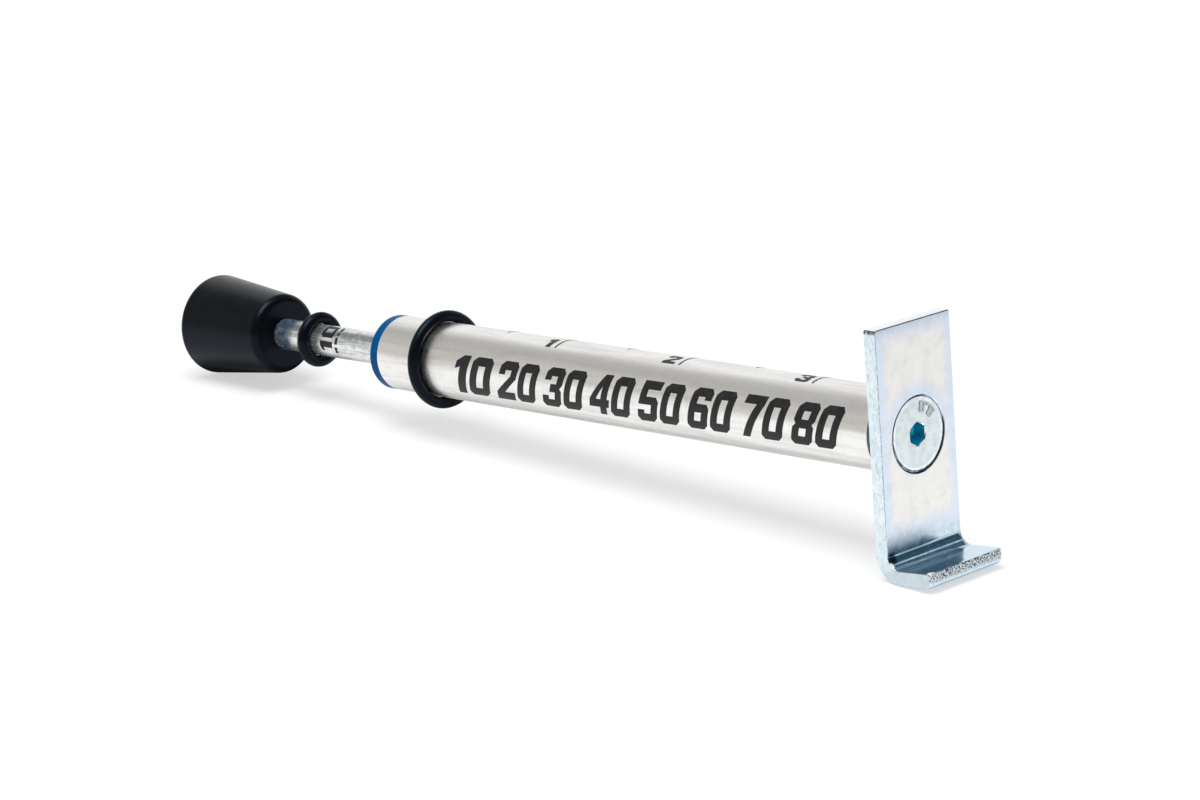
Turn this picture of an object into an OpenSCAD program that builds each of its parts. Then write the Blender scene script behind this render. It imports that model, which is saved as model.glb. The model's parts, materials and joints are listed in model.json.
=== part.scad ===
// Belt tension tester: a spring plunger in a tube, with a bent foot that sets on the belt.
// Every piece is drawn along the tool's own axis, with the belt face at x = 0 and the knob at
// negative x. The finished tool is then tilted so that it lies on a table, on its foot and its knob.

/* [Barrel] */
// Outer diameter of the tube
tube_od = 11.6; // [10.6:0.1:14]
// Wall of the tube
tube_wall = 1; // [0.8:0.1:1.2]
// Length of the tube
tube_len = 103.1; // [96:0.1:130]
// Chamfer on the tube's foot end
tube_chamfer = 0.45; // [0.2:0.05:0.7]

/* [Guide bush] */
// Thickness of the bush's flange
flange_t = 1.8; // [1:0.1:3]
// Rounding of the flange's outer edge
flange_round = 0.25; // [0.1:0.05:0.9]
// Length of the bush inside the tube
bush_len = 10; // [6:0.5:14]
// Chamfer at both ends of the bush's bore
bush_chamfer = 0.35; // [0.1:0.05:0.6]

/* [Bracket] */
// Thickness of the bracket's sheet
plate_t = 2.1; // [1.5:0.1:3]
// Width of the bracket
plate_w = 15.2; // [13:0.1:20]
// Height of the plate's top edge above the tube's axis
plate_rise = 15.7; // [9:0.1:24]
// Depth of the lip's upper face below the tube's axis
lip_drop = 17; // [12:0.1:26]
// Reach of the lip in front of the belt face
lip_reach = 7.2; // [5:0.1:14]
// Angle by which the lip is bent past square
lip_past = 3.8; // [0:0.1:8]
// Inner radius of the bend
bend_r = 1.85; // [1:0.05:3]
// Rounding of the plate's top corners
corner_r = 0.4; // [0.2:0.1:3]
// Rounding of the lip's front corners
lip_corner_r = 0.8; // [0.3:0.1:2]
// Rounding of the lip's lower front edge, where the shear rolled it over
lip_roll = 0.9; // [0.3:0.05:1.2]

/* [Bracket screw] */
// Thread diameter
screw_d = 5; // [4:0.5:5]
// Diameter of the countersunk head
head_d = 10.6; // [9.6:0.1:11.4]
// Straight land at the head's rim
head_land = 0.3; // [0.1:0.05:0.5]
// Depth of the head below the belt face
head_sunk = 0.15; // [0.05:0.05:0.4]
// Length of the screw with its head
screw_len = 14; // [10:0.5:16]
// Width across the flats of the hexagon socket
socket_af = 3; // [2:0.5:4]
// Depth of the hexagon socket
socket_depth = 2; // [1.2:0.1:2.4]

/* [End plug] */
// Length of the plug inside the tube
plug_len = 16; // [14:0.5:22]
// Length of the plug's spigot inside the spring
plug_spigot = 4; // [2:0.5:6]
// Depth of thread left below the screw's tip
tap_spare = 0.8; // [0.3:0.1:1.2]

/* [Plunger] */
// Diameter of the rod
rod_d = 5; // [4:0.1:5.4]
// Length of rod between the bush and the knob
rod_show = 27.7; // [26:0.1:40]
// Travel of the plunger from its rest to its stop
travel = 15.4; // [8:0.1:15.6]
// Length of the collar
collar_len = 5; // [3:0.5:10]
// Length of the collar's spigot inside the spring
collar_spigot = 2.5; // [1:0.5:5]
// Thickness of the collar's clip
clip_t = 0.7; // [0.5:0.05:1]
// Depth of the clip's groove in the rod
groove_depth = 0.5; // [0.3:0.05:0.8]

/* [Spring] */
// Diameter of the spring's wire
wire_d = 1.1; // [0.8:0.05:1.2]
// Number of open turns
open_turns = 14; // [8:1:16]

/* [Knob] */
// Length of the knob
knob_len = 17.8; // [14:0.1:30]
// Diameter at the big end
knob_big_d = 16.4; // [14:0.1:22]
// Diameter at the small end
knob_small_d = 12.7; // [10.5:0.1:13.5]
// Rounding of the small end's edge
knob_rim = 1.3; // [0.3:0.1:1.6]
// Rounding of the big end's edge
knob_round = 0.9; // [0.3:0.1:2]
// Depth of the knob's bore
knob_bore = 12.6; // [9:0.1:20]
// Diameter of the steel disc in the knob's floor
disc_d = 9; // [6.5:0.1:10]
// Thickness of the disc
disc_t = 1.2; // [0.8:0.1:2]

/* [Marker rings] */
// Section of the ring on the tube
tube_ring_d = 1.78; // [1.3:0.01:2.4]
// Section of the ring on the rod
rod_ring_d = 1.9; // [1.3:0.01:2.2]
// Distance of the tube's ring from the tube's knob end
tube_ring_at = 9.6; // [2:0.1:90]
// Distance of the rod's ring from the bush
rod_ring_at = 19.1; // [18:0.1:21]

/* [Fits] */
// Clearance of the rod in the bush, all round
slide_fit = 0.05; // [0.02:0.01:0.09]
// Clearance of seated and pressed pieces, all round
seat_fit = 0.02; // [0.01:0.01:0.04]
// Clearance of the collar in the tube, all round
collar_fit = 0.1; // [0.05:0.01:0.2]
// Clearance of the clip in the tube, all round
clip_fit = 0.15; // [0.1:0.01:0.25]
// Clearance of the spring on its spigots and in the tube, all round
spring_fit = 0.15; // [0.1:0.01:0.2]
// Clearance of the marker rings, all round
ring_fit = 0.03; // [0.01:0.01:0.08]

/* [Hidden] */
$fn = 96;
// Small overlap that keeps cuts from ending on a face
cut = 1;

// Radii
tube_r = tube_od / 2;
bore_r = tube_r - tube_wall;
rod_r = rod_d / 2;
spring_id = rod_d + 8 * spring_fit;
spring_r = spring_id / 2 + wire_d / 2;
spigot_r = spring_id / 2 - spring_fit;

// Stations along the axis
foot_x = -plate_t;
tube_end_x = foot_x - tube_len;
bush_face_x = tube_end_x - flange_t;
bush_in_x = tube_end_x + bush_len;
clip_x = bush_in_x + seat_fit;
collar_x = clip_x + clip_t;
spring_from_x = collar_x + collar_len;
plug_x = foot_x - plug_len;
rod_in_x = plug_x - plug_spigot - travel - slide_fit;
knob_face_x = bush_face_x - rod_show;
knob_end_x = knob_face_x - knob_len;
rod_out_x = knob_face_x - knob_bore;
tube_ring_x = tube_end_x + tube_ring_at;
rod_ring_x = bush_face_x - rod_ring_at;

// Countersunk head: a right-angled cone, whose thin end reaches past the plate into the plug
head_face_x = -head_sunk;
cone_x = head_face_x - head_land;
cone_len = (head_d - screw_d) / 2;
cone_past = foot_x - cone_x + cone_len;
screw_end_x = head_face_x - screw_len;

// Knob's side, and the centres of its rounded edges
knob_big_r = knob_big_d / 2;
knob_small_r = knob_small_d / 2;
knob_slope = atan((knob_big_r - knob_small_r) / knob_len);
knob_round_r = knob_big_r - knob_round * (1 + sin(knob_slope)) / cos(knob_slope);
knob_round_x = knob_end_x + knob_round;
knob_rim_r = knob_small_r - knob_rim * (1 - sin(knob_slope)) / cos(knob_slope);
knob_rim_x = knob_face_x - knob_rim;
knob_side = [cos(knob_slope), sin(knob_slope)];

// Bend of the bracket
bend_out = bend_r + plate_t;
bend_z = bend_r - lip_drop;
lip_len = lip_reach - bend_r;
lip_way = [cos(lip_past), sin(lip_past)];
bend_steps = 48;
roll_steps = 12;

// Point of the bend at a radius, from the plate's end at step 0 to the lip's end at the last step
function bend_point(r, step) =
    let (a = 180 + (90 + lip_past) * step / bend_steps)
    [bend_r + r * cos(a), bend_z + r * sin(a)];

// Front end of the lip's upper face
lip_end = bend_point(bend_r, bend_steps) + lip_len * lip_way;

// Point of the lip's rolled edge, from its underside at step 0 to its front at the last step
function roll_point(step) =
    let (a = 270 + lip_past + 90 * step / roll_steps)
    bend_point(bend_out - lip_roll, bend_steps)
    + (lip_len - lip_roll) * lip_way
    + lip_roll * [cos(a), sin(a)];

// Tilt at which the bend's heel and the knob's edge touch the same table
span_x = bend_r - knob_round_x;
span_z = bend_z + knob_round_r;
rest_tilt = asin((bend_out - knob_round) / norm([span_x, span_z])) - atan2(span_z, span_x);
table_z = bend_out - bend_r * sin(rest_tilt) - bend_z * cos(rest_tilt);

// Ends of the tilted tool along the table
lip_tilt = rest_tilt + lip_past;
bend_row_x = bend_r * cos(rest_tilt) - bend_z * sin(rest_tilt);
roll_row_x = bend_row_x + (lip_len - lip_roll) * cos(lip_tilt) + (bend_out - lip_roll) * sin(lip_tilt);
far_x = roll_row_x + lip_roll;
near_x = knob_round_x * cos(rest_tilt) - knob_round_r * sin(rest_tilt) - knob_round;

// Spring: closed turns at both ends, open turns between
closed_turns = 1;
turn_steps = 12;
wire_sides = 6;
closed_pitch = wire_d * 1.15;
spring_len = plug_x - spring_from_x;
coil_len = spring_len - wire_d - 2 * seat_fit;
open_pitch = (coil_len - 2 * closed_turns * closed_pitch) / open_turns;
all_turns = open_turns + 2 * closed_turns;

function coil_height(turn) =
    turn < closed_turns ? turn * closed_pitch
    : turn > all_turns - closed_turns ? coil_len - (all_turns - turn) * closed_pitch
    : closed_turns * closed_pitch + (turn - closed_turns) * open_pitch;

function coil_point(turn, side) =
    let (a = 360 * turn, b = 360 * side / wire_sides, r = spring_r + wire_d / 2 * cos(b))
    [r * cos(a), r * sin(a), wire_d / 2 + seat_fit + coil_height(turn) + wire_d / 2 * sin(b)];

// Lays the finished tool on the table, with the middle of its length over the origin
module laid_down() {
    translate([-(far_x + near_x) / 2, 0, table_z]) rotate([0, -rest_tilt, 0]) children();
}

// Turns a shape drawn along z, from x_from, to lie along the tool's axis
module along_axis(x_from = 0) {
    translate([x_from, 0, 0]) rotate([0, 90, 0]) children();
}

// Turned piece: profile points are [radius, station along the axis]
module turned(points) {
    along_axis() rotate_extrude() polygon(points);
}

module barrel_tube() {
    color([0.80, 0.80, 0.79]) turned([
        [bore_r, tube_end_x],
        [tube_r, tube_end_x],
        [tube_r, foot_x - tube_chamfer],
        [tube_r - tube_chamfer, foot_x],
        [bore_r, foot_x]
    ]);
}

module guide_bush() {
    bush_r = bore_r - seat_fit;
    hole_r = rod_r + slide_fit;
    round_x = bush_face_x + flange_round;
    color([0.02, 0.36, 0.66]) along_axis() rotate_extrude() {
        polygon([
            [hole_r, bush_face_x + bush_chamfer],
            [hole_r + bush_chamfer, bush_face_x],
            [tube_r - flange_round, bush_face_x],
            [tube_r - flange_round, round_x],
            [tube_r, round_x],
            [tube_r, tube_end_x],
            [bush_r, tube_end_x],
            [bush_r, bush_in_x],
            [hole_r + bush_chamfer, bush_in_x],
            [hole_r, bush_in_x - bush_chamfer]
        ]);
        translate([tube_r - flange_round, round_x]) circle(flange_round);
    }
}

module end_plug() {
    plug_r = bore_r - seat_fit;
    tap_r = screw_d / 2 + seat_fit;
    tap_end_x = screw_end_x - tap_spare;
    color([0.70, 0.70, 0.71]) turned([
        [0, plug_x - plug_spigot],
        [spigot_r - tube_chamfer, plug_x - plug_spigot],
        [spigot_r, plug_x - plug_spigot + tube_chamfer],
        [spigot_r, plug_x],
        [plug_r - tube_chamfer, plug_x],
        [plug_r, plug_x + tube_chamfer],
        [plug_r, foot_x],
        [tap_r + cone_past, foot_x],
        [tap_r, foot_x - cone_past],
        [tap_r, tap_end_x],
        [0, tap_end_x - tap_r / 2]
    ]);
}

// Side outline of the bent sheet, in the tool's x and z: down the back, round the heel, out along
// the lip, round its rolled edge and back to the plate's front
module bracket_side() {
    polygon(concat(
        [[-plate_t, plate_rise]],
        [for (i = [0 : bend_steps]) bend_point(bend_out, i)],
        [for (i = [0 : roll_steps]) roll_point(i)],
        [lip_end],
        [for (i = [bend_steps : -1 : 0]) bend_point(bend_r, i)],
        [[0, plate_rise]]
    ));
}

// Cutters that round the sheet's two corners, with its end at z = 0 and its thickness along x. The
// round stands a little past the faces, so that no cut ends on one.
module corner_cutters(r) {
    centre = r * 11 / 12;
    for (flip = [0, 1]) {
        mirror([0, flip, 0]) translate([-cut, plate_w / 2 - centre, -centre]) difference() {
            cube([plate_t + 2 * cut, r + cut, r + cut]);
            translate([-cut, 0, 0]) rotate([0, 90, 0]) cylinder(h = plate_t + 4 * cut, r = r);
        }
    }
}

module belt_bracket() {
    color([0.76, 0.77, 0.78]) difference() {
        rotate([90, 0, 0]) linear_extrude(plate_w, center = true) bracket_side();
        screw_room(seat_fit);
        translate([-plate_t, 0, plate_rise]) corner_cutters(corner_r);
        translate([lip_end.x, 0, lip_end.y]) rotate([0, 90 - lip_past, 0]) corner_cutters(lip_corner_r);
    }
}

// Space of the screw's head and shank in the plate, with a clearance
module screw_room(fit) {
    turned([
        [0, cut],
        [head_d / 2 + fit, cut],
        [head_d / 2 + fit, cone_x - fit],
        [screw_d / 2 + fit, cone_x - cone_len - fit],
        [screw_d / 2 + fit, foot_x - 2 * plate_t],
        [0, foot_x - 2 * plate_t]
    ]);
}

module bracket_screw() {
    tip = screw_d / 8;
    socket_x = head_face_x - socket_depth;
    drill_len = socket_af / 4;
    color([0.56, 0.60, 0.66]) difference() {
        turned([
            [0, head_face_x],
            [head_d / 2, head_face_x],
            [head_d / 2, cone_x],
            [screw_d / 2, cone_x - cone_len],
            [screw_d / 2, screw_end_x + tip],
            [screw_d / 2 - tip, screw_end_x],
            [0, screw_end_x]
        ]);
        along_axis(socket_x) cylinder(h = socket_depth + cut, d = socket_af / cos(30), $fn = 6);
        along_axis(socket_x - drill_len) cylinder(h = drill_len, r1 = 0, r2 = socket_af / 2);
    }
}

module force_spring() {
    rings = all_turns * turn_steps;
    points = [for (i = [0 : rings]) for (k = [0 : wire_sides - 1]) coil_point(i / turn_steps, k)];
    skin = [
        for (i = [0 : rings - 1]) for (k = [0 : wire_sides - 1])
            let (a = i * wire_sides + k, b = i * wire_sides + (k + 1) % wire_sides)
            [a, a + wire_sides, b + wire_sides, b]
    ];
    first = [for (k = [0 : wire_sides - 1]) k];
    last = [for (k = [wire_sides - 1 : -1 : 0]) rings * wire_sides + k];
    color([0.62, 0.63, 0.65]) along_axis(spring_from_x) polyhedron(points, concat(skin, [first, last]));
}

module plunger_rod() {
    end_chamfer = rod_r / 6;
    groove_r = rod_r - groove_depth;
    color([0.74, 0.76, 0.79]) turned([
        [0, rod_out_x],
        [rod_r - end_chamfer, rod_out_x],
        [rod_r, rod_out_x + end_chamfer],
        [rod_r, clip_x - seat_fit],
        [groove_r, clip_x - seat_fit],
        [groove_r, collar_x],
        [rod_r, collar_x],
        [rod_r, rod_in_x - end_chamfer],
        [rod_r - end_chamfer, rod_in_x],
        [0, rod_in_x]
    ]);
}

module spring_collar() {
    collar_r = bore_r - collar_fit;
    hole_r = rod_r + seat_fit;
    edge = collar_len / 10;
    color([0.72, 0.60, 0.32]) turned([
        [hole_r, collar_x],
        [collar_r - edge, collar_x],
        [collar_r, collar_x + edge],
        [collar_r, spring_from_x - edge],
        [collar_r - edge, spring_from_x],
        [spigot_r, spring_from_x],
        [spigot_r, spring_from_x + collar_spigot],
        [hole_r, spring_from_x + collar_spigot]
    ]);
}

// Retaining clip with three inner lobes and an open side
module collar_clip() {
    clip_r = bore_r - clip_fit;
    groove_r = rod_r - groove_depth + seat_fit;
    relief_r = rod_r + groove_depth;
    mouth = 2 * groove_r * 0.9;
    relief_half = 32;
    relief_side = clip_r * 2 * [cos(relief_half), sin(relief_half)];
    color([0.42, 0.43, 0.46]) along_axis(clip_x) linear_extrude(clip_t - seat_fit) difference() {
        circle(clip_r);
        circle(groove_r);
        translate([0, -mouth / 2]) square([clip_r + cut, mouth]);
        for (side = [-1, 1]) {
            intersection() {
                circle(relief_r);
                rotate(side * 120) polygon([[0, 0], relief_side, [relief_side.x, -relief_side.y]]);
            }
        }
    }
}

module knob() {
    hole_r = rod_r + seat_fit;
    room_r = disc_d / 2 + seat_fit;
    disc_x = rod_out_x - seat_fit;
    room_x = disc_x - disc_t - seat_fit;
    color([0.05, 0.05, 0.055]) along_axis() rotate_extrude() {
        polygon([
            [0, knob_end_x],
            [knob_round_r, knob_end_x],
            [knob_round_r, knob_round_x],
            [knob_round_r, knob_round_x] + knob_round * knob_side,
            [knob_rim_r, knob_rim_x] + knob_rim * knob_side,
            [knob_rim_r, knob_rim_x],
            [knob_rim_r, knob_face_x],
            [hole_r, knob_face_x],
            [hole_r, disc_x],
            [room_r, disc_x],
            [room_r, room_x],
            [0, room_x]
        ]);
        translate([knob_round_r, knob_round_x]) circle(knob_round);
        translate([knob_rim_r, knob_rim_x]) circle(knob_rim);
    }
}

module knob_disc() {
    color([0.60, 0.61, 0.63]) along_axis(rod_out_x - seat_fit - disc_t) cylinder(h = disc_t, d = disc_d);
}

// Rubber ring round the axis at a station, seated on a radius
module marker_ring(inner_r, section, x) {
    color([0.04, 0.04, 0.045]) along_axis(x) rotate_extrude()
        translate([inner_r + ring_fit + section / 2, 0]) circle(section / 2);
}

module force_ring() {
    marker_ring(rod_r, rod_ring_d, rod_ring_x);
}

module deflection_ring() {
    marker_ring(tube_r, tube_ring_d, tube_ring_x);
}

laid_down() barrel_tube();
laid_down() end_plug();
laid_down() belt_bracket();
laid_down() bracket_screw();
laid_down() guide_bush();
laid_down() force_spring();
laid_down() plunger_rod();
laid_down() spring_collar();
laid_down() collar_clip();
laid_down() knob();
laid_down() knob_disc();
laid_down() force_ring();
laid_down() deflection_ring();
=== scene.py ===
"""Looks for the belt tension tester: camera, studio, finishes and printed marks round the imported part."""

import json
import math

import bmesh
import bpy
from mathutils import Euler, Matrix, Vector


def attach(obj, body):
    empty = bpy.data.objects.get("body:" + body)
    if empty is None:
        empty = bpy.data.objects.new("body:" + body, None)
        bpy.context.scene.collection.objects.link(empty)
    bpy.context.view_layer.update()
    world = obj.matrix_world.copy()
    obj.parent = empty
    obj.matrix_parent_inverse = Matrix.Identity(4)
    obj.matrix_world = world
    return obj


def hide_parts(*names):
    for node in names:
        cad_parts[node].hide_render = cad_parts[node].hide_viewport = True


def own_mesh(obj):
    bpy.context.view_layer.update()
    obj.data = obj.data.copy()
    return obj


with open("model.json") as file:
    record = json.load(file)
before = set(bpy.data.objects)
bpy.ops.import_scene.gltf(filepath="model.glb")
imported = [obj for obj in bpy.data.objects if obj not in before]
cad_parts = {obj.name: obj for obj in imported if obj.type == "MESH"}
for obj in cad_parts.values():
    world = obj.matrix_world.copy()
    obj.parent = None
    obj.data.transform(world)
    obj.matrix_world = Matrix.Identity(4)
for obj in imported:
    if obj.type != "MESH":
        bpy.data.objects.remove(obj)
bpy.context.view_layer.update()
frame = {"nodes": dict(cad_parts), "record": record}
nodes = frame["nodes"]
mounts = {m["name"]: m for m in frame["record"]["mounts"]}
MM = 0.001

# The tool's own axes: x along the barrel with 0 at the belt face, y away from the camera, z up.
axis = Vector(mounts["belt_face"]["axis"]).normalized()
belt = Vector(mounts["belt_face"]["pos_m"])
push = Vector(mounts["push_face"]["pos_m"])
tip = push + axis * (belt - push).dot(axis)
side = Vector((0, 1, 0))
rise = axis.cross(side)
tilt = math.atan2(axis.z, axis.x)


def to_row(x, y, z):
    """A point in the tool's own axes, in mm, as a point of the row frame, in metres."""
    return tip + (axis * x + side * y + rise * z) * MM


def to_tool(point):
    """A point of the row frame in the tool's own axes, in mm."""
    d = Vector(point) - tip
    return Vector((d.dot(axis), d.dot(side), d.dot(rise))) / MM


def points_of(node):
    """The corners of a CAD node's mesh in the tool's own axes, in mm."""
    return [to_tool(v.co) for v in nodes[node].data.vertices]


def span(node):
    """(lowest, highest) corner of a CAD node's box in the tool's own axes, in mm."""
    places = points_of(node)
    low = Vector([min(p[i] for p in places) for i in range(3)])
    high = Vector([max(p[i] for p in places) for i in range(3)])
    return low, high


tube_high = span("barrel_tube")[1]
plate_low, plate_high = span("belt_bracket")
screw_low, screw_high = span("bracket_screw")
knob_low, knob_high = span("knob")
tube_r = tube_high.y
rod_r = span("plunger_rod")[1].y
plate_half = (plate_high.y - plate_low.y) / 2

# Sizes of the bracket and its screw. The first four are radii of the part's source, and soft_r rounds the
# edges that are sharp there.
bend_r = 1.85
corner_r = 0.4
roll_r = 0.9
lip_corner_r = 0.8
soft_r = 0.16
plate_t = -plate_low.x
plate_top = plate_high.z
plate_points = points_of("belt_bracket")
lip_axis = Vector(mounts["lip_face"]["axis"])
lip_up = (lip_axis.dot(axis), lip_axis.dot(rise))
lip_way = (lip_up[1], -lip_up[0])
lip_spot = to_tool(mounts["lip_face"]["pos_m"])
bend_z = lip_spot.z + (bend_r - (bend_r - lip_spot.x) * lip_up[0]) / lip_up[1]
bend_end = math.degrees(math.atan2(-lip_up[1], -lip_up[0])) % 360
lip_far = max(p.x * lip_way[0] + p.z * lip_way[1] for p in plate_points)
lip_run = lip_far - (bend_r * lip_way[0] + bend_z * lip_way[1])

head_r = screw_high.y
head_x = screw_high.x
screw_points = points_of("bracket_screw")
near_enough = 0.01
shank_from = -plate_t - 3
hole_back_r = min(math.hypot(p.y, p.z) for p in plate_points if abs(p.x + plate_t) < near_enough)
shank_r = max(math.hypot(p.y, p.z) for p in screw_points if p.x < shank_from)
land_x = min(p.x for p in screw_points if math.hypot(p.y, p.z) > head_r - near_enough)


def lip_point(along, below):
    """A point of the lip in the x, z plane: along it from the bend's end, and below its upper face."""
    x = bend_r - lip_up[0] * (bend_r + below) + lip_way[0] * along
    return x, bend_z - lip_up[1] * (bend_r + below) + lip_way[1] * along


class Graph:
    """A node tree of a material or the world. Places are in the tool's own axes, in mm."""

    def __init__(self, name="", tree=None):
        self.where = None
        self.tree = tree
        if tree:
            tree.nodes.clear()
            return
        self.material = bpy.data.materials.new(name)
        self.material.use_nodes = True
        self.tree = self.material.node_tree
        self.tree.nodes.clear()
        self.out = self.node("ShaderNodeOutputMaterial")
        self.bsdf = self.node("ShaderNodeBsdfPrincipled")
        self.tree.links.new(self.bsdf.outputs[0], self.out.inputs["Surface"])

    def put(self, socket, value):
        """Links a socket or sets its value. None leaves it as it is."""
        if isinstance(value, bpy.types.NodeSocket):
            self.tree.links.new(value, socket)
        elif value is not None:
            socket.default_value = value

    def node(self, kind, *values, **settings):
        """A new node with its settings and the values of its first inputs."""
        n = self.tree.nodes.new(kind)
        for k, v in settings.items():
            setattr(n, k, v)
        for i, v in enumerate(values):
            self.put(n.inputs[i], v)
        return n

    def set(self, **values):
        """Links or sets the surface's inputs, named with _ for a space."""
        for name, v in values.items():
            self.put(self.bsdf.inputs[name.replace("_", " ").title().replace("Ior", "IOR")], v)

    def place(self):
        """The place that is shaded, made once for each material."""
        if self.where is None:
            here = self.node("ShaderNodeTexCoord").outputs["Object"]
            turned = self.node("ShaderNodeMapping", here, vector_type="TEXTURE")
            turned.inputs["Location"].default_value = tip
            turned.inputs["Rotation"].default_value = Euler((0, -tilt, 0))
            turned.inputs["Scale"].default_value = (MM, MM, MM)
            self.where = turned.outputs[0]
        return self.where

    def xyz(self):
        return self.node("ShaderNodeSeparateXYZ", self.place()).outputs

    def math(self, op, a, b=None):
        return self.node("ShaderNodeMath", a, b, operation=op).outputs[0]

    def times(self, a, b):
        return self.math("MULTIPLY", a, b)

    def plus(self, a, b):
        return self.math("ADD", a, b)

    def less(self, a, b):
        return self.math("SUBTRACT", a, b)

    def from_axis(self):
        """How far a place is from the tool's axis."""
        _, y, z = self.xyz()
        return self.math("SQRT", self.plus(self.times(y, y), self.times(z, z)))

    def band(self, value, low, high, to_low=0.0, to_high=1.0):
        """A smooth step from one value to another. Low may be above high, which turns the step round."""
        limits = (value, low, high, to_low, to_high)
        return self.node("ShaderNodeMapRange", *limits, interpolation_type="SMOOTHSTEP").outputs[0]

    def noise(self, stretch, detail=3.0, rough=0.55, seed=0.0, twist=0.0, turn=(0, 0, 0)):
        """Noise with grains of about 1 / stretch mm."""
        moved = self.node("ShaderNodeMapping", self.place())
        moved.inputs["Rotation"].default_value = turn
        moved.inputs["Location"].default_value = (seed, seed * 1.7, seed * 0.6)
        moved.inputs["Scale"].default_value = stretch if hasattr(stretch, "__len__") else (stretch,) * 3
        n = self.node("ShaderNodeTexNoise", moved.outputs[0])
        n.inputs["Scale"].default_value = 1.0
        n.inputs["Detail"].default_value = detail
        n.inputs["Roughness"].default_value = rough
        n.inputs["Distortion"].default_value = twist
        return n.outputs[0]

    def near(self, point, inner, outer):
        """1 within the inner distance of a point, falling to 0 at the outer one."""
        away = self.node("ShaderNodeVectorMath", self.place(), point, operation="DISTANCE")
        return self.band(away.outputs["Value"], outer, inner)

    def bright_arc(self):
        """1 on the side of the screw's head that takes a painted highlight, at the upper right from the
        front.
        """
        _, y, z = self.xyz()
        turn = math.radians(43)
        towards = self.plus(self.times(y, math.cos(turn)), self.times(z, math.sin(turn)))
        return self.band(self.math("DIVIDE", towards, self.from_axis()), 0.83, 0.94)

    def mix(self, fac, a, b):
        """A colour between a and b."""
        n = self.node("ShaderNodeMix", data_type="RGBA")
        self.put(n.inputs[0], fac)
        self.put(n.inputs[6], a if isinstance(a, bpy.types.NodeSocket) else (*a, 1.0))
        self.put(n.inputs[7], b if isinstance(b, bpy.types.NodeSocket) else (*b, 1.0))
        return n.outputs[2]

    def bump(self, height, strength, depth_mm):
        """The surface's direction, bent by a height."""
        n = self.node("ShaderNodeBump")
        n.inputs["Strength"].default_value = strength
        n.inputs["Distance"].default_value = depth_mm * MM
        self.put(n.inputs["Height"], height)
        return n.outputs[0]


def colour(r, g, b):
    """A screen colour, 0 to 255, as linear light."""
    return tuple(((c / 255 + 0.055) / 1.055) ** 2.4 if c > 10 else c / 255 / 12.92 for c in (r, g, b))


# Finishes


def satin_aluminium():
    """Drawn tube: streaks along it, a turned grain round it, a dark seam near its foot, and painted shade on
    the chamfer at its foot.
    """
    g = Graph("satin_aluminium")
    x = g.xyz()[0]
    grain = g.noise((9.0, 0.12, 0.12), 4, 0.7)
    streak = g.noise((0.07, 0.9, 0.9), 4, 0.6, 3.0, 0.3)
    speck = g.noise(3.2, 2, 0.5, 11.0)
    base = g.mix(g.band(streak, 0.40, 0.70), colour(243, 242, 239), colour(225, 223, 221))
    base = g.mix(g.band(grain, 0.3, 0.75, 0.0, 0.30), base, colour(203, 202, 200))
    base = g.mix(g.band(speck, 0.71, 0.76, 0.0, 0.45), base, colour(120, 118, 116))
    # Painted shade: the chamfer at the tube's foot, where it meets the plate, is darkened.
    base = g.mix(g.band(x, tube_high.x - 0.55, tube_high.x - 0.35), base, colour(70, 72, 76))
    seam_x = tube_high.x - 2.12
    seam_end = seam_x + 0.6
    soft = 0.08
    seam = g.times(g.band(x, seam_x, seam_x + soft), g.band(x, seam_end, seam_end - soft))
    base = g.mix(seam, base, colour(70, 92, 106))
    rough = g.plus(g.band(grain, 0.25, 0.75, 0.24, 0.34), g.band(streak, 0.35, 0.7, 0.0, 0.06))
    g.set(base_color=base, metallic=1.0, roughness=rough, normal=g.bump(grain, 0.25, 0.01))
    return g.material


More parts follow.
